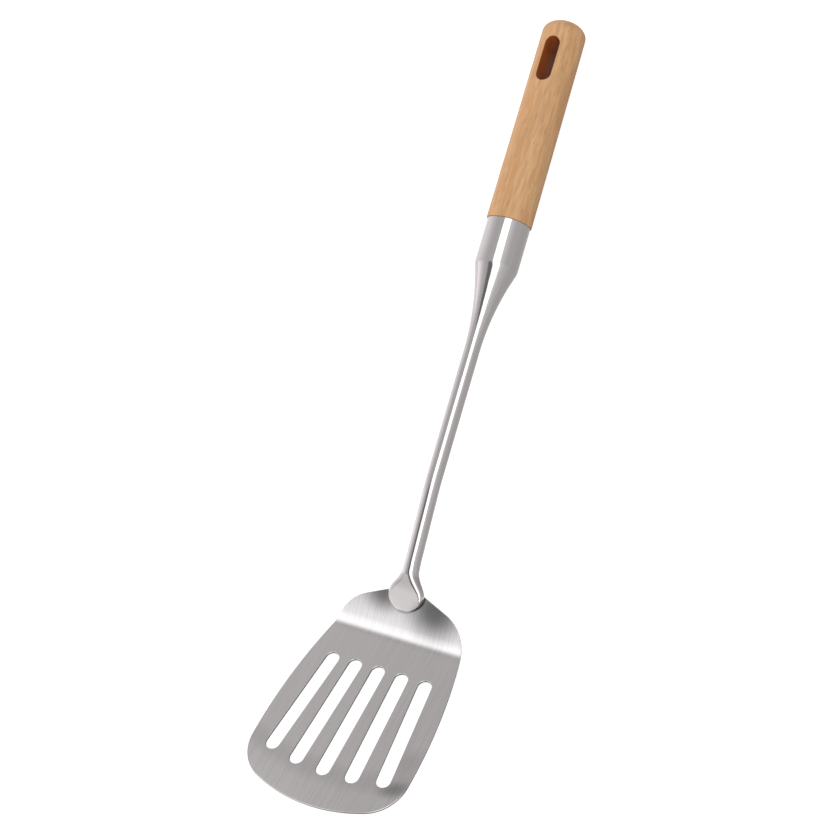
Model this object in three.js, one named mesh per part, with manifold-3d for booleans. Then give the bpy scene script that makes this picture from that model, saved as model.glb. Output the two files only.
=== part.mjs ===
// Slotted kitchen turner: a bent stainless blade, a tube stem pressed flat onto its neck, a ferrule
// and a turned wooden grip. It lies face up on a table, on its heel and the front end of the grip.
// Millimetres, +X from the grip to the blade's tip, +Z up, origin under the middle of its box.
import * as THREE from "three";
import { mergeVertices } from "three/addons/utils/BufferGeometryUtils.js";
import Module from "manifold-3d";

const wasm = await Module();
wasm.setup();

// Wooden grip
const gripLength = 104.9;
const gripFrontDiameter = 22.5;
const gripEndDiameter = 21.7;
const gripDomeLength = 6.8;
const gripFrontChamfer = 0.5;
const tenonChamfer = 0.8;
const studDepth = 30;

// Hanging slot through the grip
const hangSlotLength = 23;
const hangSlotWidth = 7.6;
const hangSlotFromEnd = 11.6;

// Ferrule
const ferruleDiameter = 21.4;
const ferruleLength = 21.7;
const ferruleWall = 0.7;

// Fixing inside the ferrule
const anchorDiscThickness = 2.5;
const studDiameter = 6;
const studPeenLength = 1.5;
const studChamfer = 0.8;

// Stem tube
const stemDiameter = 7.7;
const stemWall = 1.3;
const trumpetLength = 43.2;
const shoulderRound = 8;
const stemBendRadius = 110;
const shankFall = 5;

// Tongue, the pressed end of the stem: stations run up the neck from the middle of the heel bend
const tongueTip = 12.4;
const tongueWidest = 20.7;
const tongueCrease = 30.5;
const tongueRoundFrom = 37;
const tongueBendAt = 33;
const tongueBendRadius = 60;
const tongueWidth = 18.8;
const tongueThickness = 2;
const tongueEdge = 2.2;
const tongueFoot = 0.5;

// Blade sheet: stations run from the middle of the heel bend, towards the tip and up the neck
const sheetThickness = 1.2;
const heelFromShoulder = 181.1;
const heelRadius = 8;
const bladeRise = 29.1;
const neckRise = 6.6;
const neckCurve = 200;
const bladeTip = 92.6;
const bladeWidest = 61.5;
const bladeWidth = 82.8;
const bladeSideRadius = 253;
const bladeTipRadius = 80;
const bladeTipCorner = 20;
const neckCorner = 20;
const neckRidge = 24.9;
const neckRoofAngle = 22.6;
const neckRidgeRadius = 12;

// Drain slots, fanned out towards the tip
const slotCount = 5;
const slotWidth = 7;
const slotTopAt = 17.5;
const slotTopPitch = 12.35;
const slotFootAt = 77.5;
const slotFootPitch = 14.84;
const slotFootRadius = 115;

// Clearances
const weldGap = 0.2;
const ridgeGap = 0.5;
const glueGap = 0.2;
const discGap = 0.15;
const studGap = 0.2;
const tenonEndGap = 0.3;
const boreEndGap = 1;
const cutMargin = 5;

// Facets
const turnedSides = 48;
const tubeSides = 28;
const cornerSteps = 8;
const edgeSteps = 10;
const bendSteps = 6;

const toRadians = THREE.MathUtils.degToRad;
const steel = new THREE.MeshStandardMaterial({ color: 0xb5b2b3, roughness: 0.32, metalness: 1 });
const wood = new THREE.MeshStandardMaterial({ color: 0xd5a878, roughness: 0.6, metalness: 0 });

// Solids from closed geometry, and back
function solidOf(geometry) {
  const bare = geometry.clone();
  bare.deleteAttribute("normal");
  bare.deleteAttribute("uv");
  const merged = mergeVertices(bare, 1e-4);
  return new wasm.Manifold(
    new wasm.Mesh({
      numProp: 3,
      vertProperties: new Float32Array(merged.attributes.position.array),
      triVerts: new Uint32Array(merged.index.array),
    }),
  );
}

function geometryOf(solid) {
  const mesh = solid.getMesh();
  return new THREE.BufferGeometry()
    .setAttribute("position", new THREE.BufferAttribute(mesh.vertProperties, 3))
    .setIndex(new THREE.BufferAttribute(mesh.triVerts, 1));
}

// A body turned about the X axis, from a profile of [x, radius] pairs
function turned(profile) {
  const points = profile.map(([x, radius]) => new THREE.Vector2(radius, x));
  return new THREE.LatheGeometry(points, turnedSides).rotateZ(-Math.PI / 2);
}

// A closed body through rings of equally many points, with flat ends
function loft(rings) {
  const sides = rings[0].length;
  const index = [];
  for (let ring = 0; ring + 1 < rings.length; ring++) {
    for (let side = 0; side < sides; side++) {
      const a = ring * sides + side;
      const b = ring * sides + ((side + 1) % sides);
      index.push(a, b, b + sides, a, b + sides, a + sides);
    }
  }
  const last = (rings.length - 1) * sides;
  for (let side = 1; side + 1 < sides; side++) {
    index.push(0, side + 1, side, last, last + side, last + side + 1);
  }
  return new THREE.BufferGeometry().setFromPoints(rings.flat()).setIndex(index);
}

// A slot with round ends, cut along Z: it runs along X from 0 to its length
function slotCutter(length, width, depth) {
  const radius = width / 2;
  const shape = new THREE.Shape();
  shape.absarc(length - radius, 0, radius, -Math.PI / 2, Math.PI / 2);
  shape.absarc(radius, 0, radius, Math.PI / 2, (3 * Math.PI) / 2);
  return new THREE.ExtrudeGeometry(shape, { depth, bevelEnabled: false, curveSegments: cornerSteps });
}

// Evenly spaced values from one end to the other, both included
function steps(from, to, count) {
  return Array.from({ length: count + 1 }, (_, i) => from + ((to - from) * i) / count);
}

// Side view of the sheet's front face: the heel bend rests on the table under the grip's front end
const tableLevel = -gripFrontDiameter / 2;
const shoulder = ferruleLength;
const heelCentre = new THREE.Vector2(
  shoulder + heelFromShoulder,
  tableLevel + sheetThickness + heelRadius,
);
const heelHeading = toRadians((bladeRise - neckRise) / 2);
const heelHalfTurn = toRadians((bladeRise + neckRise) / 2);
const heelHalfLength = heelRadius * heelHalfTurn;

const neckHeading = heelHeading - heelHalfTurn;
const neckCentre = heelCentre.clone().addScaledVector(upAt(neckHeading), neckCurve - heelRadius);

function upAt(heading) {
  return new THREE.Vector2(-Math.sin(heading), Math.cos(heading));
}

// The neck goes on bending, but gently: its face is an arc from the heel to the ridge
function sheetAt(station) {
  const onNeck = Math.min(station + heelHalfLength, 0);
  const onBend = THREE.MathUtils.clamp(station, -heelHalfLength, heelHalfLength);
  const heading = heelHeading + onBend / heelRadius + onNeck / neckCurve;
  const up = upAt(heading);
  const along = new THREE.Vector2(up.y, -up.x);
  if (onNeck < 0) {
    return { point: neckCentre.clone().addScaledVector(up, -neckCurve), along, up };
  }
  const point = heelCentre
    .clone()
    .addScaledVector(up, -heelRadius)
    .addScaledVector(along, station - onBend);
  return { point, along, up };
}

// Flat pattern of the sheet: arcs of the tip, its corners, the long sides, the shoulders and the ridge
const sideArc = { width: bladeWidth / 2 - bladeSideRadius, station: bladeWidest, radius: bladeSideRadius };
const tipArc = { width: 0, station: bladeTip - bladeTipRadius, radius: bladeTipRadius };
const roofTangent = Math.tan(toRadians(neckRoofAngle));
const roofSlant = 1 / Math.cos(toRadians(neckRoofAngle));
const tipCornerArc = cornerBetweenArcs(sideArc, tipArc, bladeTipCorner);
const shoulderArc = cornerUnderRoof(sideArc, neckCorner);
const ridgeArc = { width: 0, station: -neckRidge + neckRidgeRadius * roofSlant, radius: neckRidgeRadius };

// The circle that touches two arcs from inside
function cornerBetweenArcs(first, second, radius) {
  const a = first.radius - radius;
  const b = second.radius - radius;
  const across = second.width - first.width;
  const along = second.station - first.station;
  const gap = Math.hypot(across, along);
  const reach = (gap * gap + a * a - b * b) / (2 * gap);
  const rise = Math.sqrt(a * a - reach * reach);
  return {
    width: first.width + (across * reach - along * rise) / gap,
    station: first.station + (along * reach + across * rise) / gap,
    radius,
  };
}

// The circle that touches an arc from inside and the neck's slanted top edge from below
function cornerUnderRoof(arc, radius) {
  const level = -neckRidge + radius * roofSlant;
  const reach = arc.radius - radius;
  const a = roofSlant * roofSlant;
  const b = (level - arc.station) * roofTangent - arc.width;
  const c = arc.width * arc.width + (level - arc.station) ** 2 - reach * reach;
  const width = (-b + Math.sqrt(b * b - a * c)) / a;
  return { width, station: level + roofTangent * width, radius };
}

// Stations where one stretch of the outline runs into the next
function touch(outer, inner) {
  const pull = outer.radius / (outer.radius - inner.radius);
  return outer.station + (inner.station - outer.station) * pull;
}
const tipEnds = touch(tipArc, tipCornerArc);
const sideStarts = touch(sideArc, tipCornerArc);
const sideEnds = touch(sideArc, shoulderArc);
const roofStarts = shoulderArc.station - shoulderArc.radius / roofSlant;
const roofEnds = ridgeArc.station - ridgeArc.radius / roofSlant;
const ridgeTop = ridgeArc.station - ridgeArc.radius;

function onArc(arc, station) {
  const rise = arc.radius ** 2 - (station - arc.station) ** 2;
  return arc.width + Math.sqrt(Math.max(rise, 0));
}

function halfWidthAt(station) {
  if (station > tipEnds) return onArc(tipArc, station);
  if (station > sideStarts) return onArc(tipCornerArc, station);
  if (station > sideEnds) return onArc(sideArc, station);
  if (station > roofStarts) return onArc(shoulderArc, station);
  if (station > roofEnds) return (station + neckRidge) / roofTangent;
  return onArc(ridgeArc, station);
}

// Stations along an arc at even angles, so that its facets are alike
function arcStations(arc, from, to, count) {
  const first = Math.asin((from - arc.station) / arc.radius);
  const last = Math.asin((to - arc.station) / arc.radius);
  return steps(first, last, count).map((angle) => arc.station + arc.radius * Math.sin(angle));
}

// The sheet is lofted as flat strips from the tip to the ridge, folded at the heel, then slotted
function makeBlade() {
  const noTip = 1e-4;
  const stations = [
    ...arcStations(tipArc, bladeTip - noTip, tipEnds, edgeSteps),
    ...arcStations(tipCornerArc, tipEnds, sideStarts, cornerSteps),
    ...arcStations(sideArc, sideStarts, heelHalfLength, edgeSteps),
    ...steps(heelHalfLength, -heelHalfLength, bendSteps),
    ...arcStations(sideArc, -heelHalfLength, sideEnds, 2),
    ...arcStations(shoulderArc, sideEnds, roofStarts, cornerSteps),
    ...arcStations(ridgeArc, roofEnds, ridgeTop + noTip, cornerSteps),
  ].filter((station, i, all) => i === 0 || Math.abs(station - all[i - 1]) > noTip / 2);
  const rings = stations.map((station) => {
    const { point, up } = sheetAt(station);
    const back = point.clone().addScaledVector(up, -sheetThickness);
    const half = halfWidthAt(station);
    return [
      new THREE.Vector3(point.x, -half, point.y),
      new THREE.Vector3(point.x, half, point.y),
      new THREE.Vector3(back.x, half, back.y),
      new THREE.Vector3(back.x, -half, back.y),
    ];
  });
  let blade = solidOf(loft(rings));
  for (let slot = 0; slot < slotCount; slot++) {
    blade = blade.subtract(solidOf(drainSlot(slot - (slotCount - 1) / 2)));
  }
  return geometryOf(blade);
}

// One drain slot's cutter, square to the blade: its foot lies on an arc across the blade
function drainSlot(place) {
  const topAcross = slotTopPitch * place;
  const footAcross = slotFootPitch * place;
  const footAt = slotFootAt - slotFootRadius + Math.sqrt(slotFootRadius ** 2 - footAcross ** 2);
  const length = Math.hypot(footAt - slotTopAt, footAcross - topAcross);
  const depth = sheetThickness + 2 * cutMargin;
  const { point, along, up } = sheetAt(slotTopAt);
  const blade = new THREE.Matrix4().makeBasis(
    new THREE.Vector3(along.x, 0, along.y),
    new THREE.Vector3(0, 1, 0),
    new THREE.Vector3(up.x, 0, up.y),
  );
  return slotCutter(length, slotWidth, depth)
    .translate(0, 0, -sheetThickness - cutMargin)
    .rotateZ(Math.atan2(footAcross - topAcross, footAt - slotTopAt))
    .translate(0, topAcross, 0)
    .applyMatrix4(blade)
    .translate(point.x, 0, point.y);
}

// The stem's axis in side view: level in line with the grip, one slight bend, then down onto the neck.
// The tongue is straight, and runs along the neck's slope at the middle of its seat, a weld gap above it.
const tongueLift = weldGap + tongueThickness / 2;
const tongueMiddle = (tongueTip + neckRidge) / 2;
const tongueBase = sheetAt(-tongueMiddle);
const tongueTurn = Math.atan2(tongueBase.up.x, tongueBase.up.y);
const shankTurn = toRadians(shankFall);

function aboveNeck(station) {
  return tongueBase.point
    .clone()
    .addScaledVector(tongueBase.up, tongueLift)
    .addScaledVector(tongueBase.along, tongueMiddle - station);
}

function stemAxis() {
  const low = aboveNeck(tongueBendAt);
  const high = new THREE.Vector2(low.x + low.y / Math.tan(shankTurn), 0);
  const highTangent = stemBendRadius * Math.tan(shankTurn / 2);
  const lowTangent = tongueBendRadius * Math.tan((tongueTurn - shankTurn) / 2);
  const shank = new THREE.Vector2(Math.cos(shankTurn), -Math.sin(shankTurn));
  const lowStart = low.clone().addScaledVector(shank, -lowTangent);
  const quarter = Math.PI / 2;
  const path = new THREE.Path();
  path.moveTo(shoulder, 0);
  path.lineTo(high.x - highTangent, 0);
  path.absarc(high.x - highTangent, -stemBendRadius, stemBendRadius, quarter, quarter - shankTurn, true);
  path.lineTo(lowStart.x, lowStart.y);
  path.absarc(
    lowStart.x - tongueBendRadius * Math.sin(shankTurn),
    lowStart.y - tongueBendRadius * Math.cos(shankTurn),
    tongueBendRadius,
    quarter - shankTurn,
    quarter - tongueTurn,
    true,
  );
  const end = aboveNeck(tongueTip);
  path.lineTo(end.x, end.y);
  return path;
}

// The trumpet's radius: a rounded shoulder that runs into one long hollow curve
const stemRadius = stemDiameter / 2;
const trumpetDrop = ferruleDiameter / 2 - stemRadius;
const trumpetTurn = 2 * Math.atan(trumpetDrop / trumpetLength);
const trumpetRadius = trumpetLength / Math.sin(trumpetTurn) - shoulderRound;
const shoulderRun = shoulderRound * Math.sin(trumpetTurn);

function trumpetAt(distance) {
  if (distance < shoulderRun) {
    return ferruleDiameter / 2 - shoulderRound + Math.sqrt(shoulderRound ** 2 - distance ** 2);
  }
  const left = trumpetLength - distance;
  return stemRadius + trumpetRadius - Math.sqrt(trumpetRadius ** 2 - left ** 2);
}

// The stem's section, measured from its axis: half its width, the width of its round corners, and the
// heights of its top, its waist and its bottom. The tongue is a wedge with a flat face under a crease.
const tongueSeat = neckRidge + ridgeGap;

function stemSection(distance, length) {
  if (distance < trumpetLength) {
    const radius = trumpetAt(distance);
    return { across: radius, corner: radius, top: radius, waist: 0, bottom: -radius };
  }
  const { clamp, lerp, smoothstep } = THREE.MathUtils;
  const station = length - distance + tongueTip;
  const spread = 1 - smoothstep(station, tongueWidest, tongueRoundFrom);
  const press = 1 - smoothstep(station, tongueSeat, tongueRoundFrom);
  const upTheFace = Math.min((station - tongueTip) / (tongueCrease - tongueTip), 1);
  const toEnd = clamp((tongueWidest - station) / (tongueWidest - tongueTip), 0, 1);
  const taper = Math.sqrt(1 - toEnd ** 2);
  const bottom = lerp(-stemRadius, -tongueThickness / 2, press);
  return {
    across: lerp(stemRadius, tongueWidth / 2, spread * spread) * taper,
    corner: lerp(stemRadius, tongueEdge, press) * taper,
    top: lerp(tongueThickness / 2, stemRadius, upTheFace),
    waist: bottom + lerp(stemRadius, tongueFoot, press),
    bottom,
  };
}

// One ring of points round the stem's axis, with two of them level at its top and at its bottom
function stemRing(path, length, distance, inset) {
  const place = distance / length;
  const centre = path.getPoint(place);
  const heading = path.getTangent(place);
  const { across, corner, top, waist, bottom } = stemSection(distance, length);
  return Array.from({ length: tubeSides }, (_, side) => {
    const angle = (2 * Math.PI * (side + 0.5)) / tubeSides;
    const c = Math.cos(angle);
    const s = Math.sin(angle);
    const y = Math.sign(c) * (across - corner) + c * (corner - inset);
    const z = waist + s * (s > 0 ? top - waist - inset : waist - bottom - inset);
    return new THREE.Vector3(centre.x - heading.y * z, y, centre.y + heading.x * z);
  });
}

// The tube is one wall: out along the bore from its pinched end, round the rim and down to the tongue
function makeStem() {
  const path = stemAxis();
  const length = path.getLength();
  const lowest = length + tongueTip;
  const [bendStart, bendEnd] = path.getCurveLengths();
  const roundEnd = 0.98;
  const distances = [
    ...steps(0, shoulderRun, bendSteps),
    ...steps(shoulderRun, trumpetLength, edgeSteps).slice(1),
    ...steps(bendStart, bendEnd, bendSteps),
    ...steps(lowest - tongueRoundFrom, lowest - tongueCrease, bendSteps),
    ...steps(lowest - tongueCrease, lowest - tongueWidest, edgeSteps).slice(1),
    ...steps(0, Math.asin(roundEnd), cornerSteps)
      .slice(1)
      .map((angle) => lowest - tongueWidest + (tongueWidest - tongueTip) * Math.sin(angle)),
  ];
  const pinch = lowest - (tongueCrease + tongueRoundFrom) / 2;
  const open = distances.filter((distance) => distance < pinch);
  const bore = open.map((distance) => stemRing(path, length, distance, stemWall));
  const skin = distances.map((distance) => stemRing(path, length, distance, 0));
  return loft([...bore.reverse(), ...skin]);
}

// Ferrule: a plain sleeve from the wood to the trumpet's shoulder
const ferruleBore = ferruleDiameter / 2 - ferruleWall;

function makeFerrule() {
  return turned([
    [0, ferruleBore],
    [0, ferruleDiameter / 2],
    [ferruleLength, ferruleDiameter / 2],
    [ferruleLength, ferruleBore],
    [0, ferruleBore],
  ]);
}

// Disc seated on the trumpet's rim, and the stud that it carries into the wood
const studHole = studDiameter / 2 + studGap;
const discTop = ferruleLength - anchorDiscThickness;

function makeAnchorDisc() {
  const rim = ferruleBore - discGap;
  return turned([
    [discTop, studHole],
    [discTop, rim],
    [ferruleLength, rim],
    [ferruleLength, studHole],
    [discTop, studHole],
  ]);
}

function makeTangStud() {
  const radius = studDiameter / 2;
  return turned([
    [-studDepth, 0],
    [-studDepth, radius - studChamfer],
    [-studDepth + studChamfer, radius],
    [ferruleLength + studPeenLength, radius],
    [ferruleLength + studPeenLength, 0],
  ]);
}

// Grip: turned with an elliptical dome, a tenon in the ferrule and a bore for the stud
function makeHandle() {
  const endRadius = gripEndDiameter / 2;
  const frontRadius = gripFrontDiameter / 2;
  const tenonRadius = ferruleBore - glueGap;
  const tenonEnd = discTop - tenonEndGap;
  const boreEnd = -studDepth - boreEndGap;
  const domeFrom = -gripLength + gripDomeLength;
  const dome = steps(0, Math.PI / 2, cornerSteps).map((angle) => [
    domeFrom - gripDomeLength * Math.cos(angle),
    endRadius * Math.sin(angle),
  ]);
  const body = turned([
    ...dome,
    [-gripFrontChamfer, frontRadius],
    [0, frontRadius - gripFrontChamfer],
    [0, tenonRadius],
    [tenonEnd - tenonChamfer, tenonRadius],
    [tenonEnd, tenonRadius - tenonChamfer],
    [tenonEnd, studHole],
    [boreEnd, studHole],
    [boreEnd, 0],
  ]);
  const slot = slotCutter(hangSlotLength, hangSlotWidth, gripFrontDiameter + 2 * cutMargin).translate(
    -gripLength + hangSlotFromEnd,
    0,
    -frontRadius - cutMargin,
  );
  return geometryOf(solidOf(body).subtract(solidOf(slot)));
}

// Assembly, moved so that the origin lies on the table under the middle of its box
const turner = new THREE.Group();
const pieces = [
  ["blade", makeBlade(), steel],
  ["stem", makeStem(), steel],
  ["ferrule", makeFerrule(), steel],
  ["anchor_disc", makeAnchorDisc(), steel],
  ["tang_stud", makeTangStud(), steel],
  ["handle", makeHandle(), wood],
];
for (const [name, geometry, material] of pieces) {
  const mesh = new THREE.Mesh(geometry, material);
  mesh.name = name;
  turner.add(mesh);
}
const box = new THREE.Box3().setFromObject(turner);
const middle = box.getCenter(new THREE.Vector3());
turner.position.set(-middle.x, -middle.y, -box.min.z);

const part = new THREE.Group();
part.add(turner);
export default part;
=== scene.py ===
# Slotted kitchen turner, dressed: the smooth blade, stem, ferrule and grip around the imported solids
import math

import bmesh
import bpy
from mathutils import Matrix, Vector
from mathutils.geometry import delaunay_2d_cdt


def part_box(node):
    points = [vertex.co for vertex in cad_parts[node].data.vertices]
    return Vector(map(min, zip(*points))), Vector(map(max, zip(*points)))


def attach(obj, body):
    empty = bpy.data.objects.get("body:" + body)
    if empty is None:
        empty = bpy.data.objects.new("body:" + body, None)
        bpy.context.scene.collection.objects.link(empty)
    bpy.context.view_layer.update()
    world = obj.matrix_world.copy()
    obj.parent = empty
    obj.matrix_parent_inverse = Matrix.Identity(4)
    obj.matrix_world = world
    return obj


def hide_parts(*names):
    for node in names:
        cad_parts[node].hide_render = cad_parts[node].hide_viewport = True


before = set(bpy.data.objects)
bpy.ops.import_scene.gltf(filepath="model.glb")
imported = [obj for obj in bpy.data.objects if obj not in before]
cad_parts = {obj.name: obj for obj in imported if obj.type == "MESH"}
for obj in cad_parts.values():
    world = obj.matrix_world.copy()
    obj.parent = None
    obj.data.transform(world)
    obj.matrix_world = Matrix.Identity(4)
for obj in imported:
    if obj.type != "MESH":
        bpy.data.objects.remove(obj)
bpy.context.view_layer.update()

MM = 0.001

# Wooden grip, millimetres
grip_length = 104.9
grip_front_diameter = 22.5
grip_end_diameter = 21.7
grip_dome_length = 6.8
grip_front_round = 0.5
tenon_chamfer = 0.8
stud_depth = 30
hang_slot_length = 23
hang_slot_width = 7.6
hang_slot_from_end = 11.6
hang_slot_round = 0.55

# Ferrule and fixing
ferrule_diameter = 21.4
ferrule_length = 21.7
ferrule_wall = 0.7
ferrule_round = 0.25
anchor_disc_thickness = 2.5
stud_diameter = 6

# Stem and its tongue: stations run up the neck from the middle of the heel bend
stem_diameter = 7.7
stem_wall = 1.3
trumpet_length = 43.2
shoulder_round = 8
stem_bend_radius = 110
shank_fall = 5
tongue_tip = 12.4
tongue_widest = 20.7
tongue_crease = 30.5
tongue_round_from = 37
tongue_bend_at = 33
tongue_bend_radius = 60
tongue_width = 18.8
tongue_thickness = 2
tongue_edge = 4.5
tongue_edge_beyond_seat = 2
tongue_rim = 0.9
tongue_rim_length = 4
tongue_foot = 0.5
tongue_hollow = 1.4

# Blade sheet
sheet_thickness = 1.2
sheet_round = 0.25
heel_from_shoulder = 181.1
heel_radius = 8
blade_rise = 29.1
neck_rise = 6.6
neck_curve = 200
blade_tip = 92.6
blade_widest = 61.5
blade_width = 82.8
blade_side_radius = 253
blade_tip_radius = 80
blade_tip_corner = 20
neck_corner = 20
neck_ridge = 24.9
neck_roof_angle = 22.6
neck_ridge_radius = 12

# Drain slots
slot_count = 5
slot_width = 7
slot_top_at = 17.5
slot_top_pitch = 12.35
slot_foot_at = 77.5
slot_foot_pitch = 14.84
slot_foot_radius = 115

# Clearances
weld_gap = 0.2
ridge_gap = 0.5
glue_gap = 0.2
stud_gap = 0.2
tenon_end_gap = 0.3
bore_end_gap = 1

# Mesh fineness: steps and margins in millimetres, rows, rings and sides as counts, angles in degrees
outline_step = 0.5
least_steps = 4
same_point = 0.05
bend_rows = 24
neck_rows = 16
row_steps = 40
row_margin = 3 * sheet_round
turned_sides = 160
tube_sides = 96
shoulder_rings = 10
trumpet_rings = 50
stem_bend_rings = 16
crease_rings = 24
tongue_rings = 40
tongue_end_share = 0.995
panel_margin = 3
panel_rows = 30
mouth_margin = 1.5 * hang_slot_round
dome_rings = 24
dome_foot_rings = 2
grip_rings = 20
front_round_rings = 4
fill_tolerance = 1e-6
fill_slack = 0.002
merge_distance = 0.02
hard_edge = 50
quarter_round = [math.radians(angle) for angle in (90, 60, 30, 0)]

# Camera: places in millimetres, its roll in degrees and its film in millimetres
camera_position = (105.47, 331.43, 687.76)
camera_aim = (8.464, -25.924, 0)
camera_roll = -60.06
focal_length_pixels = 1600
photo_pixels = 828
film_width = 36

# Colours
black = (0, 0, 0)
white = (1, 1, 1)
blade_colour = (0.49, 0.468, 0.463)
tube_colour = (0.46, 0.44, 0.435)
fixing_colour = (0.35, 0.35, 0.36)
grip_wood = {"light": (0.76, 0.44, 0.215), "dark": (0.61, 0.33, 0.145), "pore": (0.30, 0.14, 0.05)}
slot_wood = {"light": (0.42, 0.105, 0.012), "dark": (0.34, 0.085, 0.01), "pore": (0.18, 0.045, 0.006)}

# Steel: its brushing varies mostly within the noise range, and lines are given per metre along each axis
noise_range = (0.3, 0.7)
sheet_lines = (30, 1500, 30)
tube_lines = (30, 1500, 1500)
hollow_scale = (30, 40, 30)
hollow_height = 12
brush_depth = 0.01
brushed_shade = 0.95
coarse_shade = 0.8
roughness_spread = 0.15
blade_roughness = 0.22
blade_anisotropy = 0.4
tube_roughness = 0.1
fixing_roughness = 0.4

# Painted dark reflections, a painted contact shadow and painted shade on the steel, millimetres: places up
# the neck from the heel or below the slots' feet, and across
right_dark_reflection = {"middle": (13.5, 16), "size": (18, 20), "depth": 0.26}
left_dark_reflection = {"middle": (17, -12), "size": (13, 15), "depth": 0.32}
contact_shadow_reach = 4
contact_shadow_depth = 0.3
contact_shadow_core = 0.75
feet_reflection_band = (1, 8)
feet_reflection_depth = 0.88
corner_dark_reflection = {"middle": (3, 36), "size": (6, 10), "depth": 0.6}
side_dark_reflection = {"middle": (-11, 36), "size": (10, 9), "depth": 0.85}
crease_shade = 0.76
crease_shade_start = (2.5, 3.5)
crease_shade_end = (6.5, 12)

# Wood: grain, streaks and pores per metre along each axis, and the walls of the hanging slot
grain_scale = (90, 600, 600)
streak_scale = (10, 110, 110)
pore_scale = (150, 2000, 2000)
grain_share = 0.6
mottle_range = (0.38, 0.62)
pore_range = (0.6, 0.7)
pore_strength = 0.6
wood_roughness = 0.55
grain_depth = 0.06
slot_wall_margin = 0.05
slot_wall_lean = 0.3

# Floor: how far it reaches in metres, its grey and its lift to white for the camera
floor_reach = 6
floor_grey = (0.5, 0.5, 0.5)
floor_lift = 0.82

# What the steel mirrors of the floor: stretches in millimetres from the origin, and levels at their ends
beside_neck = (86, 94)
beside_neck_levels = (0.3, 1)
beside_stem = (0, 60)
beside_stem_levels = (0.85, 1.15)
stem_to_neck_side = (-20, 0)
under_blade = (111, 118)

# Room: levels of the fill, of the pale walls and of the dark ceiling strip
fill_level = 0.3
wall_level = 0.8
strip_level = 0.35
left_level = 0.65
left_front_gain = 1.8
left_colour = (0.99, 0.94, 1)
left_colour_full = 0.5
right_level = 0.4
right_front_level = 0.1
back_levels = (-0.1, 0.15)
front_level = 0.6

# Soft edges in the room: leans are degrees from straight up towards +Y
strip_left_lean = (-30, -12)
strip_right_lean = (10, 30)
left_lean = (-30, -95)
right_lean = (35, 75)
right_top_lean = (20, 30)
back_lean = (-32, -52)

# Soft edges in the room: shares of the way along +X, and along +Y for the side of the front wall
strip_back_edge = (-0.12, 0.1)
left_back_edge = (-0.6, -0.35)
left_front_edge = (-0.08, 0.05)
right_front_edge = (-0.2, 0)
back_edge = (-0.55, -0.65)
front_edge = (0.42, 0.55)
front_side_edge = (0, -0.2)

# Lights: places and sizes in metres, turn in degrees, and soft ends as shares of the heel light's width
part_middle = (0, 0, 0)
heel = (0.105, 0, 0)
top_softbox = {"position": (0, 0.46, 1.22), "aim": part_middle, "width": 1.9, "height": 0.84, "turn": 8}
top_glow = {"radiance": 2.4, "colour": white}
heel_softbox = {"position": (0.06, -0.26, 0.5), "aim": heel, "width": 0.72, "height": 0.4}
heel_glow = {"radiance": 1.65, "colour": (0.93, 0.97, 1)}
heel_glow_start = (0.03, 0.4)
heel_glow_end = (0.73, 0.86)
left_softbox = {"position": (0, -1.2, 0.4), "aim": part_middle, "width": 1.5, "height": 0.7}
left_glow = {"radiance": 2.2, "colour": (1, 0.97, 1)}

# The part's own frame: its seam between wood and ferrule, and its axis
ferrule_low, ferrule_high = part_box("ferrule")
seam = Vector((ferrule_low.x, 0, (ferrule_low.z + ferrule_high.z) / 2))


def at_seam(x, y, z):
    """A point given in millimetres from the seam, in the part's frame."""
    return seam + Vector((x, y, z)) * MM


def smoothstep(value, low, high):
    """A soft rise from 0 at low to 1 at high."""
    share = min(max((value - low) / (high - low), 0), 1)
    return share * share * (3 - 2 * share)


def mix(a, b, share):
    """The value that lies a share of the way from a to b."""
    return a + (b - a) * share


def spread(first, last, count):
    """Even steps from first to last, both included."""
    return [first + (last - first) * i / count for i in range(count + 1)]


def steps_along(length):
    """How many outline steps a stretch of an outline is cut into."""
    return max(least_steps, round(length / outline_step))


def add_mesh(name, points, faces, sharp_degrees=None, normals=None):
    """A smooth-shaded mesh object from points in the part's frame."""
    mesh = bpy.data.meshes.new(name)
    mesh.from_pydata(points, [], faces)
    mesh.validate()
    mesh.polygons.foreach_set("use_smooth", [True] * len(mesh.polygons))
    if sharp_degrees:
        mesh.set_sharp_from_angle(angle=math.radians(sharp_degrees))
    if normals:
        mesh.normals_split_custom_set_from_vertices(normals)
    piece = bpy.data.objects.new(name, mesh)
    bpy.context.scene.collection.objects.link(piece)
    return piece


def ring_strip(first, second):
    """Faces between two closed rings of point numbers."""
    count = len(first)
    return [
        (first[i], first[(i + 1) % count], second[(i + 1) % count], second[i])
        for i in range(count)
    ]


def ring_edges(start, count):
    """Edges of a closed ring of points that are numbered from a start."""
    return [(start + i, start + (i + 1) % count) for i in range(count)]


def flipped(faces):
    """The same faces, turned to their other side."""
    return [tuple(reversed(face)) for face in faces]


def loft(rings):
    """Points and faces of a closed body through rings of equally many points."""
    sides = len(rings[0])
    points = [point for ring in rings for point in ring]
    numbered = [range(start, start + sides) for start in range(0, len(points), sides)]
    faces = []
    for first, second in zip(numbered, numbered[1:]):
        faces += ring_strip(first, second)
    faces.append(tuple(reversed(numbered[0])))
    faces.append(tuple(numbered[-1]))
    return points, faces


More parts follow.
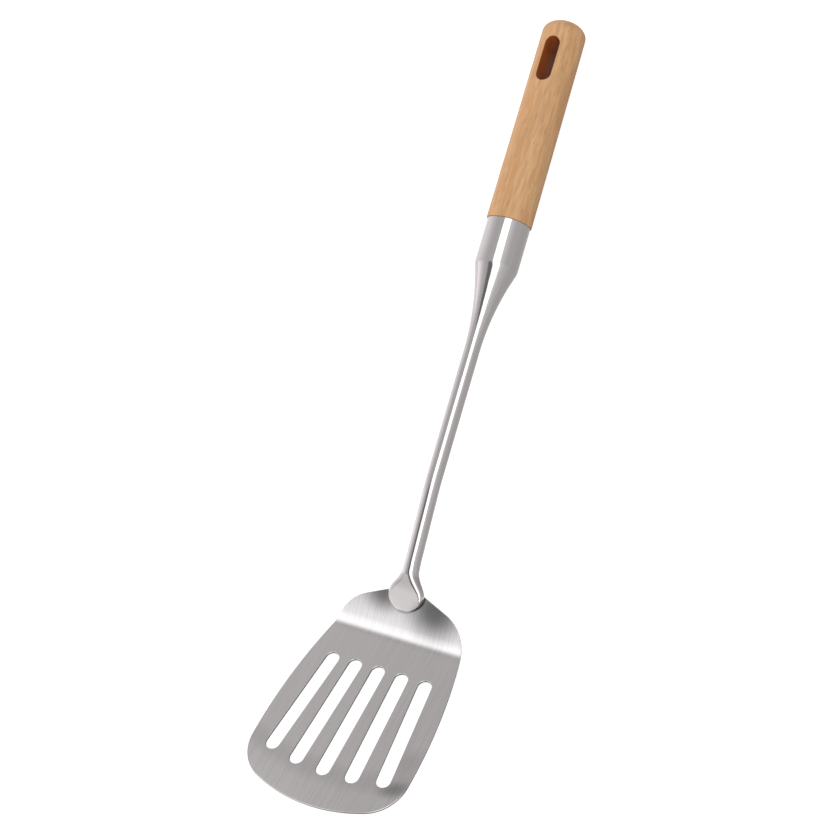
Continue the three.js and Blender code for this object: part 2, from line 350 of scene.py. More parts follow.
def turned(profile, closed):
    """Points and faces turned about the axis, from [x, radius] pairs in millimetres."""
    points = []
    rings = []
    for x, radius in profile:
        if radius == 0:
            rings.append([len(points)] * turned_sides)
            points.append(at_seam(x, 0, 0))
            continue
        rings.append([len(points) + i for i in range(turned_sides)])
        for i in range(turned_sides):
            angle = 2 * math.pi * i / turned_sides
            points.append(at_seam(x, radius * math.sin(angle), radius * math.cos(angle)))
    pairs = list(zip(rings, rings[1:]))
    if closed:
        pairs.append((rings[-1], rings[0]))
    faces = []
    for first, second in pairs:
        faces += [tuple(dict.fromkeys(face)) for face in ring_strip(first, second)]
    return points, faces


def filled(flat, edges, within_edges, in_hole):
    """Triangles over flat points that keep the edges, without those whose middle lies in a hole."""
    spots, _, triangles, origins, _, _ = delaunay_2d_cdt(flat, edges, [], within_edges, fill_tolerance)
    kept = []
    for triangle in triangles:
        middle = sum((spots[i] for i in triangle), Vector((0, 0))) / 3
        if not in_hole(middle):
            kept.append(tuple(origins[i][0] for i in triangle))
    return kept


# Side view of the sheet's front face
table_level = -grip_front_diameter / 2
heel_x = ferrule_length + heel_from_shoulder
heel_z = table_level + sheet_thickness + heel_radius
heel_heading = math.radians((blade_rise - neck_rise) / 2)
heel_half_turn = math.radians((blade_rise + neck_rise) / 2)
heel_half_length = heel_radius * heel_half_turn
heel_easing = 2 * heel_half_length
neck_heading = heel_heading - heel_half_turn
neck_x = heel_x - math.sin(neck_heading) * (neck_curve - heel_radius)
neck_z = heel_z + math.cos(neck_heading) * (neck_curve - heel_radius)


def sheet_at(station):
    """Front face at a station: its x and z, and its upward direction as x and z."""
    if station < -heel_half_length:
        heading = neck_heading + (station + heel_half_length) / neck_curve
        up = (-math.sin(heading), math.cos(heading))
        return neck_x - up[0] * neck_curve, neck_z - up[1] * neck_curve, up
    on_bend = min(station, heel_half_length)
    heading = heel_heading + on_bend / heel_radius
    up = (-math.sin(heading), math.cos(heading))
    beyond = station - on_bend
    x = heel_x - up[0] * heel_radius + up[1] * beyond
    z = heel_z - up[1] * heel_radius - up[0] * beyond
    return x, z, up


def on_sheet(station, y, depth):
    """A point at a depth below the sheet's front face, in the part's frame."""
    x, z, up = sheet_at(station)
    return at_seam(x - up[0] * depth, y, z - up[1] * depth)


# Flat pattern of the sheet: each arc is a centre (station, y) and a radius
def corner_between(first, second, radius):
    """The arc that touches two arcs from inside."""
    a = first[2] - radius
    b = second[2] - radius
    along = second[0] - first[0]
    across = second[1] - first[1]
    gap = math.hypot(along, across)
    reach = (gap * gap + a * a - b * b) / (2 * gap)
    rise = math.sqrt(a * a - reach * reach)
    station = first[0] + (along * reach + across * rise) / gap
    y = first[1] + (across * reach - along * rise) / gap
    return station, y, radius


def corner_under_roof(arc, radius):
    """The arc that touches an arc from inside and the neck's slanted top edge from below."""
    slope = math.tan(math.radians(neck_roof_angle))
    slant = 1 / math.cos(math.radians(neck_roof_angle))
    level = -neck_ridge + radius * slant
    reach = arc[2] - radius
    b = (level - arc[0]) * slope - arc[1]
    c = arc[1] ** 2 + (level - arc[0]) ** 2 - reach ** 2
    y = (-b + math.sqrt(b * b - slant * slant * c)) / (slant * slant)
    return level + slope * y, y, radius


def heading_between(first, second):
    """Direction from one arc's centre to another's."""
    return math.atan2(second[1] - first[1], second[0] - first[0])


def roof_points(start, ridge, roof):
    """Points on the straight slanted top edge, from the shoulder to the ridge's arc."""
    end_station = ridge[0] + ridge[2] * math.cos(roof)
    end_y = ridge[1] + ridge[2] * math.sin(roof)
    count = steps_along(math.dist(start[:2], (end_station, end_y)))
    return [
        (mix(start[0], end_station, i / count), mix(start[1], end_y, i / count), start[2])
        for i in range(1, count)
    ]


def blade_outline():
    """Closed outline of the sheet: station, y and the outward direction at each point."""
    side = (blade_widest, blade_width / 2 - blade_side_radius, blade_side_radius)
    tip = (blade_tip - blade_tip_radius, 0, blade_tip_radius)
    tip_corner = corner_between(side, tip, blade_tip_corner)
    shoulder = corner_under_roof(side, neck_corner)
    roof_slant = 1 / math.cos(math.radians(neck_roof_angle))
    ridge = (-neck_ridge + neck_ridge_radius * roof_slant, 0, neck_ridge_radius)
    roof = math.pi - math.radians(neck_roof_angle)
    turns = [
        (tip, 0, heading_between(tip, tip_corner)),
        (tip_corner, heading_between(tip, tip_corner), heading_between(side, tip_corner)),
        (side, heading_between(side, tip_corner), heading_between(side, shoulder)),
        (shoulder, heading_between(side, shoulder), roof),
        (ridge, roof, math.pi),
    ]
    half = []
    for (station, y, radius), start, end in turns:
        for angle in spread(start, end, steps_along(radius * (end - start))):
            direction = (math.cos(angle), math.sin(angle))
            half.append((station + radius * direction[0], y + radius * direction[1], direction))
        if end == roof:
            half += roof_points(half[-1], ridge, roof)
    clean = [half[0]]
    for point in half[1:]:
        if math.dist(point[:2], clean[-1][:2]) > same_point:
            clean.append(point)
    mirrored = [(s, -y, (d[0], -d[1])) for s, y, d in reversed(clean[1:-1])]
    return clean + mirrored


def drain_slot(place):
    """Ends of one slot's middle line, at the centres of its round ends, as station and y."""
    top = Vector((slot_top_at, slot_top_pitch * place))
    foot_y = slot_foot_pitch * place
    bow = slot_foot_radius - math.sqrt(slot_foot_radius ** 2 - foot_y ** 2)
    foot = Vector((slot_foot_at - bow, foot_y))
    along = (foot - top).normalized()
    return top + along * slot_width / 2, foot - along * slot_width / 2


def slot_outline(top, foot, radius):
    """Closed outline of a slot with round ends: two coordinates and the direction out of the metal."""
    along = (foot - top).normalized()
    across = Vector((-along.y, along.x))
    straight = steps_along((foot - top).length)
    bend = steps_along(math.pi * radius)
    points = []
    for start, end, ahead, aside in ((top, foot, along, across), (foot, top, -along, -across)):
        for i in range(straight):
            centre = start.lerp(end, i / straight)
            points.append((*(centre + aside * radius), tuple(-aside)))
        for angle in spread(0, math.pi, bend)[:-1]:
            direction = aside * math.cos(angle) + ahead * math.sin(angle)
            points.append((*(end + direction * radius), tuple(-direction)))
    return points


def in_slot(point, top, foot, radius):
    """Whether a flat point lies within a slot of this radius."""
    along = foot - top
    share = min(max((point - top).dot(along) / along.length_squared, 0), 1)
    return (point - top - along * share).length < radius


def half_width(outline, station):
    """Least half width of the sheet within two outline steps of a station."""
    return min(y for s, y, out in outline if y > 0 and abs(s - station) < 2 * outline_step)


def eased_heading(station):
    """Slope of the sheet as polished: the bend runs softly into the blade and the neck."""
    on_neck = min(station + heel_half_length, 0) / neck_curve
    share = min(max(station / heel_easing, -1), 1)
    eased = (1 + math.sin(share * math.pi / 2)) / 2
    return mix(neck_heading + on_neck, heel_heading + heel_half_turn, eased)


def rim_normal(station, out, angle):
    """Direction of the surface on the sheet's rounded edge: from its front face round to its back."""
    heading = eased_heading(station)
    up = Vector((-math.sin(heading), 0, math.cos(heading)))
    along = Vector((math.cos(heading), 0, math.sin(heading)))
    outward = along * out[0] + Vector((0, out[1], 0))
    return (up * math.sin(angle) + outward * math.cos(angle)).normalized()


# Blade: the flat pattern with its holes, filled on both faces and given rounded edges
def make_blade():
    drains = [drain_slot(i - (slot_count - 1) / 2) for i in range(slot_count)]
    loops = [blade_outline()] + [slot_outline(top, foot, slot_width / 2) for top, foot in drains]
    rims = [(sheet_round * (1 - math.cos(a)), sheet_round * (1 - math.sin(a)), a) for a in quarter_round]
    rims += [(inset, sheet_thickness - depth, -angle) for inset, depth, angle in reversed(rims)]
    points = []
    normals = []
    faces = []
    flat = []
    edges = []
    front = []
    back = []

    def add_point(station, y, depth, out, angle):
        points.append(on_sheet(station, y, depth))
        normals.append(rim_normal(station, out, angle))
        return len(points) - 1

    for loop in loops:
        rows = [
            [add_point(s - out[0] * inset, y - out[1] * inset, depth, out, angle) for s, y, out in loop]
            for inset, depth, angle in rims
        ]
        for first, second in zip(rows, rows[1:]):
            faces += flipped(ring_strip(first, second))
        edges += ring_edges(len(flat), len(loop))
        flat += [Vector((s - out[0] * sheet_round, y - out[1] * sheet_round)) for s, y, out in loop]
        front += rows[0]
        back += rows[-1]

    ridge = min(point[0] for point in loops[0])
    stations = spread(-heel_easing, heel_easing, bend_rows)
    stations += spread(ridge, -heel_easing, neck_rows)[1:-1]
    for station in stations:
        reach = half_width(loops[0], station) - row_margin
        row = spread(-reach, reach, row_steps)
        edges += [(len(flat) + i, len(flat) + i + 1) for i in range(row_steps)]
        flat += [Vector((station, y)) for y in row]
        front += [add_point(station, y, 0, (0, 0), math.pi / 2) for y in row]
        back += [add_point(station, y, sheet_thickness, (0, 0), -math.pi / 2) for y in row]

    def in_drain(spot):
        radius = slot_width / 2 + sheet_round - fill_slack
        return any(in_slot(spot, top, foot, radius) for top, foot in drains)

    for first, second, third in filled(flat, edges, True, in_drain):
        faces.append((front[first], front[second], front[third]))
        faces.append((back[first], back[third], back[second]))
    return add_mesh("turner_blade", points, faces, normals=normals)


# Stem: its axis, and its section from the trumpet to the pressed tongue
stem_radius = stem_diameter / 2
trumpet_drop = ferrule_diameter / 2 - stem_radius
trumpet_turn = 2 * math.atan(trumpet_drop / trumpet_length)
trumpet_radius = trumpet_length / math.sin(trumpet_turn) - shoulder_round
shoulder_length = shoulder_round * math.sin(trumpet_turn)
shank_rise = math.radians(shank_fall)
tongue_seat = neck_ridge + ridge_gap
tongue_lift = weld_gap + tongue_thickness / 2


def above_neck(station):
    """A point on the tongue's axis, which runs straight along the neck at the tongue's middle."""
    middle = (tongue_tip + neck_ridge) / 2
    x, z, up = sheet_at(-middle)
    ahead = middle - station
    return Vector((x + up[0] * tongue_lift + up[1] * ahead, z + up[1] * tongue_lift - up[0] * ahead))


def stem_stretches():
    """The axis in side view as stretches from the shoulder down: length and radius, 0 when straight."""
    low = above_neck(tongue_bend_at)
    end = above_neck(tongue_tip)
    neck_turn = math.atan2(low.y - end.y, end.x - low.x)
    high_x = low.x + low.y / math.tan(shank_rise)
    high_tangent = stem_bend_radius * math.tan(shank_rise / 2)
    low_tangent = tongue_bend_radius * math.tan((neck_turn - shank_rise) / 2)
    shank = math.hypot(low.x - high_x, low.y) - high_tangent - low_tangent
    tongue = (end - low).length - low_tangent
    return [
        (high_x - high_tangent - ferrule_length, 0),
        (stem_bend_radius * shank_rise, stem_bend_radius),
        (shank, 0),
        (tongue_bend_radius * (neck_turn - shank_rise), tongue_bend_radius),
        (tongue, 0),
    ]


def axis_at(stretches, distance):
    """Point and downward heading of the axis at a distance from the shoulder."""
    x, z, heading = ferrule_length, 0, 0
    for length, radius in stretches:
        step = min(distance, length)
        turn = step / radius if radius else 0
        chord = 2 * radius * math.sin(turn / 2) if radius else step
        x += chord * math.cos(heading + turn / 2)
        z -= chord * math.sin(heading + turn / 2)
        heading += turn
        distance -= step
        if distance <= 0:
            break
    return x, z, heading


def trumpet_at(distance):
    """Radius of the trumpet: a rounded shoulder that runs into one long hollow curve."""
    if distance < shoulder_length:
        return ferrule_diameter / 2 - shoulder_round + math.sqrt(shoulder_round ** 2 - distance ** 2)
    left = max(trumpet_length - distance, 0)
    return stem_radius + trumpet_radius - math.sqrt(trumpet_radius ** 2 - left ** 2)


def stem_section(distance, length):
    """Half width, corner width, top, waist and bottom of the section, from the axis."""
    if distance < trumpet_length:
        radius = trumpet_at(distance)
        return radius, radius, radius, 0, -radius
    station = length - distance + tongue_tip
    opening = 1 - smoothstep(station, tongue_widest, tongue_round_from)
    press = 1 - smoothstep(station, tongue_seat, tongue_round_from)
    to_end = min(max((tongue_widest - station) / (tongue_widest - tongue_tip), 0), 1)
    taper = math.sqrt(1 - to_end ** 2)
    up_the_face = min((station - tongue_tip) / (tongue_crease - tongue_tip), 1)
    rim_end = tongue_tip + tongue_rim_length
    edge_start = tongue_seat + tongue_edge_beyond_seat
    edge = mix(tongue_rim, tongue_edge, smoothstep(station, rim_end, edge_start))
    bottom = mix(-stem_radius, -tongue_thickness / 2, press)
    return (
        mix(stem_radius, tongue_width / 2, opening * opening) * taper,
        mix(stem_radius, edge, press) * taper,
        mix(tongue_thickness / 2, stem_radius, up_the_face ** tongue_hollow),
        bottom + mix(stem_radius, tongue_foot, press),
        bottom,
    )


def stem_ring(stretches, length, distance, wall):
    """One ring of the stem at a distance from the shoulder: its outside, less a wall for its bore."""
    x, z, heading = axis_at(stretches, distance)
    across, corner, top, waist, bottom = stem_section(distance, length)
    ring = []
    for side in range(tube_sides):
        angle = 2 * math.pi * (side + 0.5) / tube_sides
        c = math.cos(angle)
        s = math.sin(angle)
        y = math.copysign(across - corner, c) + (corner - wall) * c
        reach = top - wall - waist if s > 0 else waist - bottom - wall
        height = waist + reach * s
        ring.append(at_seam(x + math.sin(heading) * height, y, z + math.cos(heading) * height))
    return ring


def make_stem():
    stretches = stem_stretches()
    length = sum(stretch[0] for stretch in stretches)
    lowest = length + tongue_tip
    bend_start = stretches[0][0]
    bend_end = bend_start + stretches[1][0]
    distances = [
        *spread(0, shoulder_length, shoulder_rings),
        *spread(shoulder_length, trumpet_length, trumpet_rings)[1:],
        *spread(bend_start, bend_end, stem_bend_rings),
        *spread(lowest - tongue_round_from, lowest - tongue_crease, crease_rings),
        *spread(lowest - tongue_crease, lowest - tongue_widest, tongue_rings)[1:],
    ]
    for angle in spread(0, math.asin(tongue_end_share), tongue_rings)[1:]:
        distances.append(lowest - tongue_widest + (tongue_widest - tongue_tip) * math.sin(angle))
    bore_end = lowest - (tongue_crease + tongue_round_from) / 2
    bore = [d for d in distances if d < bore_end]
    rings = [stem_ring(stretches, length, d, stem_wall) for d in reversed(bore)]
    rings += [stem_ring(stretches, length, d, 0) for d in distances]
    points, faces = loft(rings)
    return add_mesh("turner_stem", points, faces, sharp_degrees=hard_edge)


# Ferrule: a plain sleeve with a softened rim at the wood
def make_ferrule():
    outer = ferrule_diameter / 2
    bore = outer - ferrule_wall
    profile = [(0, bore)]
    for angle in quarter_round:
        inset = ferrule_round * (1 - math.sin(angle))
        drop = ferrule_round * (1 - math.cos(angle))
        profile.append((inset, outer - drop))
    profile += [(ferrule_length, outer), (ferrule_length, bore)]
    points, faces = turned(profile, closed=True)
    return add_mesh("turner_ferrule", points, flipped(faces), sharp_degrees=hard_edge)


# Grip: turned wood with the hanging slot's rounded mouths
dome_from = -grip_length + grip_dome_length
hang_slot_start = -grip_length + hang_slot_from_end
panel_from = hang_slot_start - panel_margin
panel_to = hang_slot_start + hang_slot_length + panel_margin


def grip_radius(x):
    """Radius of the grip between its dome and its front end."""
    share = (x - dome_from) / -dome_from
    return mix(grip_end_diameter, grip_front_diameter, share) / 2


def on_grip(x, y, side, drop=0):
    """A point on the grip's upper side (1) or lower side (-1), or a drop below its surface."""
    level = math.sqrt(max(grip_radius(x) ** 2 - y ** 2, 0)) - drop
    return at_seam(x, y, side * level)


def slotted_panel():
    """Points and faces of the grip around the hanging slot: both sides, and the slot's walls."""
    radius = hang_slot_width / 2
    top = Vector((hang_slot_start + radius, 0))
    foot = Vector((hang_slot_start + hang_slot_length - radius, 0))
    mouth = slot_outline(top, foot, radius)
    unrolled_radius = grip_end_diameter / 2
    quarter = turned_sides // 4
    flat = []
    spots = []
    for x in spread(panel_from, panel_to, panel_rows):
        for step in range(-quarter, quarter + 1):
            angle = 2 * math.pi * step / turned_sides
            spot = Vector((x, grip_radius(x) * math.sin(angle)))
            if not in_slot(spot, top, foot, radius + mouth_margin):
                flat.append(Vector((x, angle * unrolled_radius)))
                spots.append(spot)
    mouth_start = len(flat)
    for x, y, out in mouth:
        spot = Vector((x - out[0] * hang_slot_round, y - out[1] * hang_slot_round))
        flat.append(Vector((spot.x, math.asin(spot.y / grip_radius(spot.x)) * unrolled_radius)))
        spots.append(spot)

    def in_mouth(spot):
        across = grip_radius(spot.x) * math.sin(spot.y / unrolled_radius)
        return in_slot(Vector((spot.x, across)), top, foot, radius + hang_slot_round - fill_slack)

    triangles = filled(flat, ring_edges(mouth_start, len(mouth)), False, in_mouth)
    points = []
    faces = []
    seams = []
    for side in (1, -1):
        first = len(points)
        points += [on_grip(spot.x, spot.y, side) for spot in spots]
        skin = [tuple(first + i for i in triangle) for triangle in triangles]
        rim = [first + mouth_start + i for i in range(len(mouth))]
        for angle in quarter_round[1:]:
            inset = hang_slot_round * (1 - math.cos(angle))
            drop = hang_slot_round * (1 - math.sin(angle))
            lower = [len(points) + i for i in range(len(mouth))]
            points += [on_grip(x - out[0] * inset, y - out[1] * inset, side, drop) for x, y, out in mouth]
            skin += ring_strip(rim, lower)
            rim = lower
        faces += skin if side > 0 else flipped(skin)
        seams.append(rim)
    faces += ring_strip(seams[0], seams[1])
    return points, faces


def dome_profile():
    """Turned outline of the grip's domed end, up to the slotted panel."""
    profile = [(-grip_length, 0)]
    for angle in spread(0, math.pi / 2, dome_rings)[1:]:
        x = dome_from - grip_dome_length * math.cos(angle)
        profile.append((x, grip_end_diameter / 2 * math.sin(angle)))
    return profile + [(x, grip_radius(x)) for x in spread(dome_from, panel_from, dome_foot_rings)[1:]]


def front_profile():
    """Turned outline of the grip from the slotted panel to its front end, with tenon and bore."""
    tenon = ferrule_diameter / 2 - ferrule_wall - glue_gap
    tenon_end = ferrule_length - anchor_disc_thickness - tenon_end_gap
    bore = stud_diameter / 2 + stud_gap
    bore_end = -stud_depth - bore_end_gap
    profile = [(x, grip_radius(x)) for x in spread(panel_to, -grip_front_round, grip_rings)]
    front = grip_radius(-grip_front_round)
    for angle in spread(0, math.pi / 2, front_round_rings)[1:]:
        x = grip_front_round * (math.sin(angle) - 1)
        profile.append((x, front - grip_front_round * (1 - math.cos(angle))))
    return profile + [
        (0, tenon),
        (tenon_end - tenon_chamfer, tenon),
        (tenon_end, tenon - tenon_chamfer),
        (tenon_end, bore),
        (bore_end, bore),
        (bore_end, 0),
    ]


def merge_and_sharpen(piece):
    """Joins the panel to the turned body and keeps hard edges hard."""
    mesh = piece.data
    work = bmesh.new()
    work.from_mesh(mesh)
    bmesh.ops.remove_doubles(work, verts=work.verts, dist=merge_distance * MM)
    bmesh.ops.recalc_face_normals(work, faces=work.faces)
    work.to_mesh(mesh)
    work.free()
    mesh.set_sharp_from_angle(angle=math.radians(hard_edge))


def make_handle():
    points, faces = slotted_panel()
    for profile in (dome_profile(), front_profile()):
        offset = len(points)
        body_points, body_faces = turned(profile, closed=False)
        points += body_points
        faces += [tuple(offset + i for i in face) for face in flipped(body_faces)]
    handle = add_mesh("turner_handle", points, faces)
    merge_and_sharpen(handle)
    return handle


pieces = {
    "blade": make_blade(),
    "stem": make_stem(),
    "ferrule": make_ferrule(),
    "handle": make_handle(),
}
for node, piece in pieces.items():
    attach(piece, "root")
    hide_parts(node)

# Camera
lens = bpy.data.cameras.new("camera")
lens.sensor_width = film_width
lens.lens = film_width * focal_length_pixels / photo_pixels
camera = bpy.data.objects.new("camera", lens)
eye = Vector(camera_position) * MM
look = (Vector(camera_aim) * MM - eye).to_track_quat("-Z", "Y").to_matrix().to_4x4()
roll = Matrix.Rotation(math.radians(camera_roll), 4, "Z")
camera.matrix_world = Matrix.Translation(eye) @ look @ roll
bpy.context.scene.collection.objects.link(camera)
bpy.context.scene.camera = camera
bpy.context.scene.view_settings.view_transform = "Standard"


# Materials
class Nodes:
    """Short ways to add nodes to one material, light or world."""

    def __init__(self, owner):
        owner.use_nodes = True
        self.tree = owner.node_tree

    def put(self, socket, value):
        """Links an output to a socket, or sets the socket's own value."""
        if isinstance(value, bpy.types.NodeSocket):
            self.tree.links.new(value, socket)
        elif socket.type == "RGBA":
            socket.default_value = (*value, 1)
        else:
            socket.default_value = value

    def feed(self, node, **inputs):
        """Puts values into a node's inputs, with an underscore for each blank in an input's name."""
        for name, value in inputs.items():
            self.put(node.inputs[name.replace("_", " ")], value)

    def add(self, kind, settings=None, **inputs):
        """A new node with its settings and inputs."""
        node = self.tree.nodes.new("ShaderNode" + kind)
        for name, value in (settings or {}).items():
            setattr(node, name, value)
        self.feed(node, **inputs)
        return node

    def math(self, operation, *values):
        """Result of one operation on values or outputs."""
        node = self.add("Math", {"operation": operation})
        for socket, value in zip(node.inputs, values):
            self.put(socket, value)
        return node.outputs[0]

    def times(self, product, *factors):
        """Product of values or outputs."""
        for factor in factors:
            product = self.math("MULTIPLY", product, factor)
        return product

    def plus(self, total, *others):
        """Sum of values or outputs."""
        for other in others:
            total = self.math("ADD", total, other)
        return total

    def ramp(self, value, low, high, start=0.0, end=1.0):
        """A soft change from start to end while the value goes from low to high."""
        node = self.add("MapRange", {"interpolation_type": "SMOOTHSTEP"}, Value=value)
        self.feed(node, From_Min=low, From_Max=high, To_Min=start, To_Max=end)
        return node.outputs["Result"]

    def spot(self, along, aside, middle, size, depth, core=0.1):
        """A soft round spot: depth within its core, 1 outside its size along and aside."""
        first = self.math("DIVIDE", self.math("SUBTRACT", along, middle[0]), size[0])
        second = self.math("DIVIDE", self.math("SUBTRACT", aside, middle[1]), size[1])
        place = self.add("CombineXYZ", X=first, Y=second).outputs[0]
        apart = self.add("VectorMath", {"operation": "LENGTH"}, Vector=place).outputs["Value"]
        return self.ramp(apart, core, 1, depth, 1)

    def blend(self, share, first, second):
        """A colour that lies a share of the way from the first colour to the second."""
        node = self.add("Mix", {"data_type": "RGBA"}, Factor=share)
        colours = [socket for socket in node.inputs if socket.type == "RGBA"]
        self.put(colours[0], first)
        self.put(colours[1], second)
        return next(socket for socket in node.outputs if socket.type == "RGBA")

    def xyz(self, vector):
        """The coordinates of a vector, as X, Y and Z."""
        return self.add("SeparateXYZ", Vector=vector).outputs

    def place(self, scale):
        """Object position in metres, stretched by a scale along each axis."""
        spot = self.add("TexCoord").outputs["Object"]
        return self.add("Mapping", Vector=spot, Scale=scale).outputs["Vector"]

    def place_mm(self):
        """Object position in millimetres, as X, Y and Z."""
        return self.xyz(self.place((1 / MM, 1 / MM, 1 / MM)))

    def noise(self, scale, detail, seed):
        """A random pattern, with a scale per metre along each axis."""
        node = self.add("TexNoise", {"noise_dimensions": "4D"}, Vector=self.place(scale))
        self.feed(node, Scale=1.0, Detail=detail, W=seed)
        return node.outputs["Fac"]

    def bump(self, height, depth):
        """Normal of a surface with a height pattern, whose depth is in millimetres."""
        return self.add("Bump", Height=height, Distance=depth * MM).outputs["Normal"]


def surface(name):
    """A new material, its node helper and its main shader."""
    material = bpy.data.materials.new(name)
    nodes = Nodes(material)
    return material, nodes, nodes.tree.nodes["Principled BSDF"]


def plain_finish(nodes, brushing):
    """Even, fine brushing."""
    return nodes.ramp(brushing, *noise_range, brushed_shade, 1)


def blade_brushing_and_shade(nodes, brushing):
    """Coarser brushing on the neck, painted dark reflections beside the tongue, a painted contact shadow
    round its seat and painted dark reflections along the slots' feet.
    """
    spot = nodes.place_mm()
    y = spot["Y"]
    ahead = nodes.math("SUBTRACT", spot["X"], at_seam(heel_x, 0, 0).x / MM)
    fine = plain_finish(nodes, brushing)
    coarse = nodes.ramp(brushing, *noise_range, coarse_shade, 1)
    on_neck = nodes.ramp(ahead, heel_easing, -heel_easing)
    shade = nodes.math("MULTIPLY_ADD", on_neck, nodes.math("SUBTRACT", coarse, fine), fine)

    # Painted dark reflections on the neck, one on each side of the tongue
    up_the_neck = nodes.times(ahead, -1)
    beside = nodes.times(nodes.spot(up_the_neck, y, **right_dark_reflection), nodes.spot(up_the_neck, y, **left_dark_reflection))
    # A painted contact shadow round the tongue where it sits on the neck
    contact_shadow_size = (tongue_widest - tongue_tip + contact_shadow_reach, tongue_width / 2 + contact_shadow_reach)
    contact_shadow = nodes.spot(up_the_neck, y, (tongue_widest, 0), contact_shadow_size, contact_shadow_depth, contact_shadow_core)
    neck_painted_darkening = nodes.math("MINIMUM", beside, contact_shadow)

    # Painted dark reflections in a band along the slots' feet and in two spots towards the right edge
    station = nodes.math("DIVIDE", ahead, math.cos(math.radians(blade_rise)))
    bow = nodes.times(nodes.math("POWER", y, 2), 1 / (2 * slot_foot_radius))
    below_feet = nodes.plus(nodes.math("SUBTRACT", station, slot_foot_at), bow)
    feet_dark_reflection = nodes.ramp(nodes.math("ABSOLUTE", below_feet), *feet_reflection_band, feet_reflection_depth, 1)
    corner_dark_spot = nodes.spot(below_feet, y, **corner_dark_reflection)
    side_dark_spot = nodes.spot(below_feet, y, **side_dark_reflection)
    return nodes.times(shade, neck_painted_darkening, feet_dark_reflection, corner_dark_spot, side_dark_spot)


def pressed_brushing_and_shade(nodes, brushing):
    """Fine brushing, with painted shade just below the crease where the pressed face leaves the round stem.
    """
    crease = at_seam(heel_x - tongue_crease, 0, 0).x / MM
    below_crease = nodes.math("SUBTRACT", nodes.place_mm()["X"], crease)
    # Painted shade in a band just below the crease
    start = nodes.ramp(below_crease, *crease_shade_start, 1, crease_shade)
    end = nodes.ramp(below_crease, *crease_shade_end, crease_shade, 1)
    return nodes.times(plain_finish(nodes, brushing), nodes.math("MAXIMUM", start, end))


def steel(name, colour, roughness, lines, anisotropy=0.0, brushing_and_shade=plain_finish):
    """Brushed steel: fine lines along the turner, and faint hollows in the sheet; its brushing function can
    add painted shade to the colour.
    """
    material, nodes, shader = surface(name)
    brushing = nodes.noise(lines, detail=3, seed=1)
    hollows = nodes.noise(hollow_scale, detail=1, seed=2)
    smoother = roughness * (1 - roughness_spread)
    rougher = roughness * (1 + roughness_spread)
    height = nodes.plus(brushing, nodes.times(hollows, hollow_height))
    nodes.feed(
        shader,
        Base_Color=nodes.blend(brushing_and_shade(nodes, brushing), black, colour),
        Metallic=1,
        Roughness=nodes.ramp(brushing, *noise_range, smoother, rougher),
        Anisotropic=anisotropy,
        Tangent=nodes.add("CombineXYZ", Y=1).outputs[0],
        Normal=nodes.bump(height, brush_depth),
    )
    return material


def wood(name, light, dark, pore):
    """Oiled wood: short mottled grain along the grip, broad streaks and a few open pores."""
    material, nodes, shader = surface(name)
    grain = nodes.noise(grain_scale, detail=4, seed=3)
    streak = nodes.noise(streak_scale, detail=2, seed=4)
    pores = nodes.noise(pore_scale, detail=2, seed=5)
    shade = nodes.plus(nodes.times(grain, grain_share), nodes.times(streak, 1 - grain_share))
    colour = nodes.blend(nodes.ramp(shade, *mottle_range), dark, light)
    colour = nodes.blend(nodes.ramp(pores, *pore_range, 0, pore_strength), colour, pore)
    height = nodes.math("SUBTRACT", grain, pores)
    nodes.feed(
        shader,
        Base_Color=colour,
        Roughness=wood_roughness,
        Normal=nodes.bump(height, grain_depth),
    )
    return material


looks = {
    "blade": steel(
        "blade steel", blade_colour, blade_roughness, sheet_lines, blade_anisotropy, blade_brushing_and_shade
    ),
    "stem": steel("stem steel", tube_colour, tube_roughness, tube_lines, brushing_and_shade=pressed_brushing_and_shade),
    "ferrule": steel("ferrule steel", tube_colour, tube_roughness, tube_lines),
    "handle": wood("grip wood", **grip_wood),
}
for node, piece in pieces.items():
    piece.data.materials.append(looks[node])
fixing = steel("fixing steel", fixing_colour, fixing_roughness, tube_lines)
for node in ("anchor_disc", "tang_stud"):
    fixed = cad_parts[node]
    fixed.data.materials.clear()
    fixed.data.materials.append(fixing)

# Walls of the hanging slot: the same wood, darker where the light hardly reaches
handle_mesh = pieces["handle"].data
handle_mesh.materials.append(wood("slot wood", **slot_wood))
slot_start = at_seam(hang_slot_start, 0, 0).x
slot_end = slot_start + hang_slot_length * MM
slot_side = (hang_slot_width / 2 + slot_wall_margin) * MM
for polygon in handle_mesh.polygons:
    in_hang_slot = slot_start < polygon.center.x < slot_end and abs(polygon.center.y) < slot_side
    if in_hang_slot and abs(polygon.normal.z) < slot_wall_lean:
        polygon.material_index = 1

# Floor: a pale matt sheet that the camera sees as white, with the turner's shadow on it
floor_mesh = bpy.data.meshes.new("floor")
floor_corners = [(x * floor_reach, y * floor_reach, 0) for x, y in ((-1, -1), (1, -1), (1, 1), (-1, 1))]
floor_mesh.from_pydata(floor_corners, [], [(0, 1, 2, 3)])
floor = bpy.data.objects.new("floor", floor_mesh)
bpy.context.scene.collection.objects.link(floor)

material, nodes, shader = surface("floor")
rays = nodes.add("LightPath").outputs
spot = nodes.place_mm()
neck_side = nodes.ramp(spot["X"], *beside_neck, *beside_neck_levels)
stem_side = nodes.ramp(spot["X"], *beside_stem, *beside_stem_levels)
mirrored = nodes.times(
    rays["Is Glossy Ray"],
    nodes.ramp(spot["Y"], *stem_to_neck_side, stem_side, neck_side),
    nodes.ramp(spot["X"], *under_blade, 1, 0),
)
lift = nodes.plus(nodes.times(rays["Is Camera Ray"], floor_lift), mirrored)
nodes.feed(shader, Base_Color=floor_grey, Roughness=1, Emission_Color=white, Emission_Strength=lift)
floor_mesh.materials.append(material)

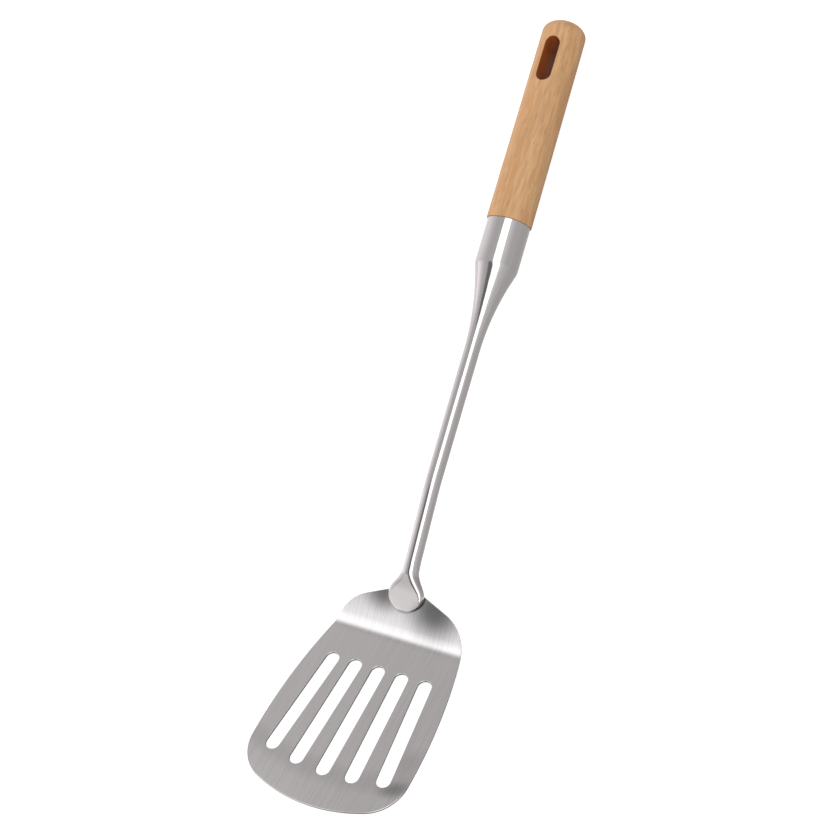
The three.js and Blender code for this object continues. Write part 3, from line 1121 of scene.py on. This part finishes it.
# Room: white to the camera, a soft fill for the rest, and for the steel pale walls and a dark ceiling strip
world = bpy.data.worlds.new("studio")
nodes = Nodes(world)
bpy.context.scene.world = world
ahead, aside, up = nodes.xyz(nodes.add("TexCoord").outputs["Generated"])
lean = nodes.math("DEGREES", nodes.math("ARCTAN2", aside, up))
strip = nodes.times(
    nodes.ramp(lean, *strip_left_lean),
    nodes.ramp(lean, *strip_right_lean, 1, 0),
    nodes.ramp(ahead, *strip_back_edge),
)
left = nodes.times(
    nodes.ramp(lean, *left_lean, 0, left_level),
    nodes.ramp(ahead, *left_back_edge),
    nodes.ramp(ahead, *left_front_edge, 1, left_front_gain),
)
right = nodes.times(
    nodes.plus(
        nodes.ramp(lean, *right_lean, right_level, 0),
        nodes.ramp(ahead, *right_front_edge, 0, right_front_level),
    ),
    nodes.ramp(lean, *right_top_lean),
)
back = nodes.times(nodes.ramp(lean, *back_lean, *back_levels), nodes.ramp(ahead, *back_edge))
front = nodes.times(nodes.ramp(ahead, *front_edge, 0, front_level), nodes.ramp(aside, *front_side_edge))
walls = nodes.plus(wall_level, left, right, front, back)
room = nodes.times(walls, nodes.ramp(strip, 0, 1, 1, strip_level))
rays = nodes.add("LightPath").outputs
above_fill = nodes.math("SUBTRACT", room, fill_level)
level = nodes.plus(fill_level, nodes.times(rays["Is Glossy Ray"], above_fill))
tint = nodes.blend(nodes.ramp(left, 0, left_colour_full), white, left_colour)
nodes.feed(
    nodes.tree.nodes["Background"],
    Strength=nodes.math("MAXIMUM", level, rays["Is Camera Ray"]),
    Color=nodes.blend(rays["Is Camera Ray"], tint, white),
)


# Lights: a broad one above, one for the blade alone and one from the left that the steel doesn't mirror
def softbox(name, position, aim, width, height, radiance, colour, turn=0):
    """A rectangular light that faces a point, turned by degrees about its own direction."""
    light = bpy.data.lights.new(name, "AREA")
    light.shape = "RECTANGLE"
    light.size = width
    light.size_y = height
    light.energy = radiance * math.pi * width * height
    light.color = colour
    lamp = bpy.data.objects.new(name, light)
    facing = (Vector(aim) - Vector(position)).to_track_quat("-Z", "Y").to_matrix()
    lamp.location = position
    lamp.rotation_euler = (facing @ Matrix.Rotation(math.radians(turn), 3, "Z")).to_euler()
    lamp.visible_camera = False
    bpy.context.scene.collection.objects.link(lamp)
    return lamp


softbox("top softbox", **top_softbox, **top_glow)
heel_light = softbox("heel softbox", **heel_softbox, **heel_glow)
left_light = softbox("left softbox", **left_softbox, **left_glow)
left_light.visible_glossy = False
near_heel = bpy.data.collections.new("near heel")
near_heel.objects.link(pieces["blade"])
heel_light.light_linking.receiver_collection = near_heel
nodes = Nodes(heel_light.data)
along = nodes.xyz(nodes.add("NewGeometry").outputs["Parametric"])["X"]
glow = nodes.times(nodes.ramp(along, *heel_glow_start), nodes.ramp(along, *heel_glow_end, 1, 0))
nodes.feed(nodes.tree.nodes["Emission"], Strength=glow)
